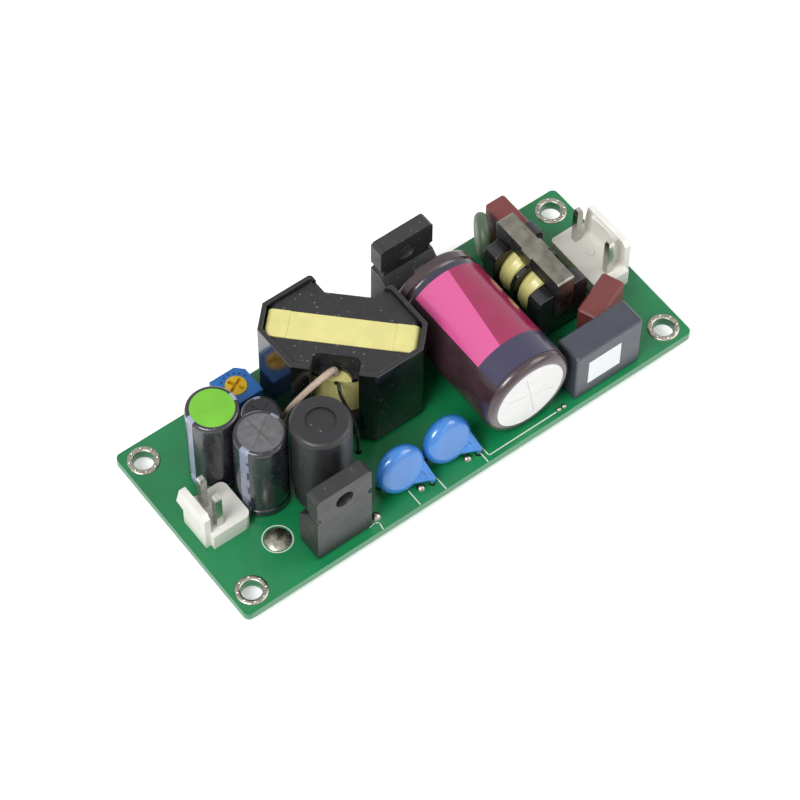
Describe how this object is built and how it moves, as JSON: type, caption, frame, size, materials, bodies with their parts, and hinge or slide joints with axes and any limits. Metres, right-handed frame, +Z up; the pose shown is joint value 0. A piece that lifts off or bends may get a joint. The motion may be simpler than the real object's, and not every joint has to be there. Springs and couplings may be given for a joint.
{
  "type": "open frame power supply",
  "caption": "Narrow circuit board carrying a switching supply, with a mains header at one end, an output header at the other and a turning voltage trimmer.",
  "frame": {"origin": "centre of the four mounting holes, on the underside of the board", "axes": "+X along the board towards the mains input header, +Y from the front long edge to the rear one, +Z up through the parts"},
  "size_m": [0.087, 0.0356, 0.0236],
  "materials": {
    "laminate": "green solder mask",
    "solder": "tinned",
    "nylon": "natural white nylon",
    "plated_pin": "tin plated",
    "can_sleeve": "printed shrink sleeve",
    "can_top": "bare",
    "green_top": "coloured dot",
    "lead_wire": "tinned",
    "shrink_tube": "shrunk",
    "ferrite": "sintered",
    "mould_compound": "moulded",
    "trimmer_blue": "moulded",
    "trimmer_yellow": "moulded",
    "black_shell": "moulded",
    "bobbin_plastic": "phenolic",
    "tape": "polyester tape",
    "litz_sleeve": "fabric covered",
    "bulk_sleeve": "printed shrink sleeve",
    "white_disc": "plain",
    "seal_rubber": "matte",
    "disc_coating": "epoxy dip",
    "film_case": "moulded",
    "thermistor_coating": "epoxy dip",
    "fuse_case": "moulded",
    "clip_steel": "plated"
  },
  "bodies": {
    "board": {"bridge_rectifier": "mould_compound", "bulk_can": "bulk_sleeve", "bulk_end_disc": "white_disc", "bulk_leads": "lead_wire", "bulk_seal": "seal_rubber", "chip_parts": "mould_compound", "circuit_board": "laminate", "controller_chip": "mould_compound", "disc_capacitor_a": "disc_coating", "disc_capacitor_a_leads": "lead_wire", "disc_capacitor_b": "disc_coating", "disc_capacitor_b_leads": "lead_wire", "drum_choke_core": "ferrite", "drum_choke_leads": "lead_wire", "drum_choke_sleeve": "shrink_tube", "film_capacitor": "film_case", "film_capacitor_leads": "lead_wire", "front_fuse": "fuse_case", "fuse_leads": "lead_wire", "input_header": "nylon", "input_header_pins": "plated_pin", "line_choke_bobbin": "bobbin_plastic", "line_choke_clip": "clip_steel", "line_choke_core": "ferrite", "line_choke_pins": "lead_wire", "line_choke_windings": "tape", "mounting_rings": "solder", "optocoupler": "mould_compound", "output_capacitor_a": "can_sleeve", "output_capacitor_a_leads": "lead_wire", "output_capacitor_a_top": "green_top", "output_capacitor_b": "can_sleeve", "output_capacitor_b_leads": "lead_wire", "output_capacitor_b_top": "can_top", "output_header": "nylon", "output_header_pins": "plated_pin", "rear_fuse": "fuse_case", "rectifier_body": "mould_compound", "rectifier_leads": "plated_pin", "secondary_lead": "litz_sleeve", "sleeved_lead": "shrink_tube", "small_capacitor": "can_sleeve", "small_capacitor_leads": "lead_wire", "small_capacitor_top": "can_top", "solder_joints": "solder", "thermistor": "thermistor_coating", "thermistor_leads": "lead_wire", "top_solder": "solder", "transformer_bobbin": "bobbin_plastic", "transformer_core": "ferrite", "transformer_pins": "lead_wire", "transformer_shell": "black_shell", "transformer_tape": "tape", "transformer_winding": "tape", "transistor_body": "mould_compound", "transistor_leads": "plated_pin", "trimmer_body": "trimmer_blue", "trimmer_pins": "lead_wire"},
    "trimmer_rotor": {"trimmer_rotor": "trimmer_yellow"}
  },
  "joints": [
    {"name": "trimmer_turn", "type": "hinge", "parent": "board", "child": "trimmer_rotor", "pos_m": [-0.0225, 0.0144, 0.006], "axis": [0, 0, 1], "range_deg": [-120, 120]}
  ]
}
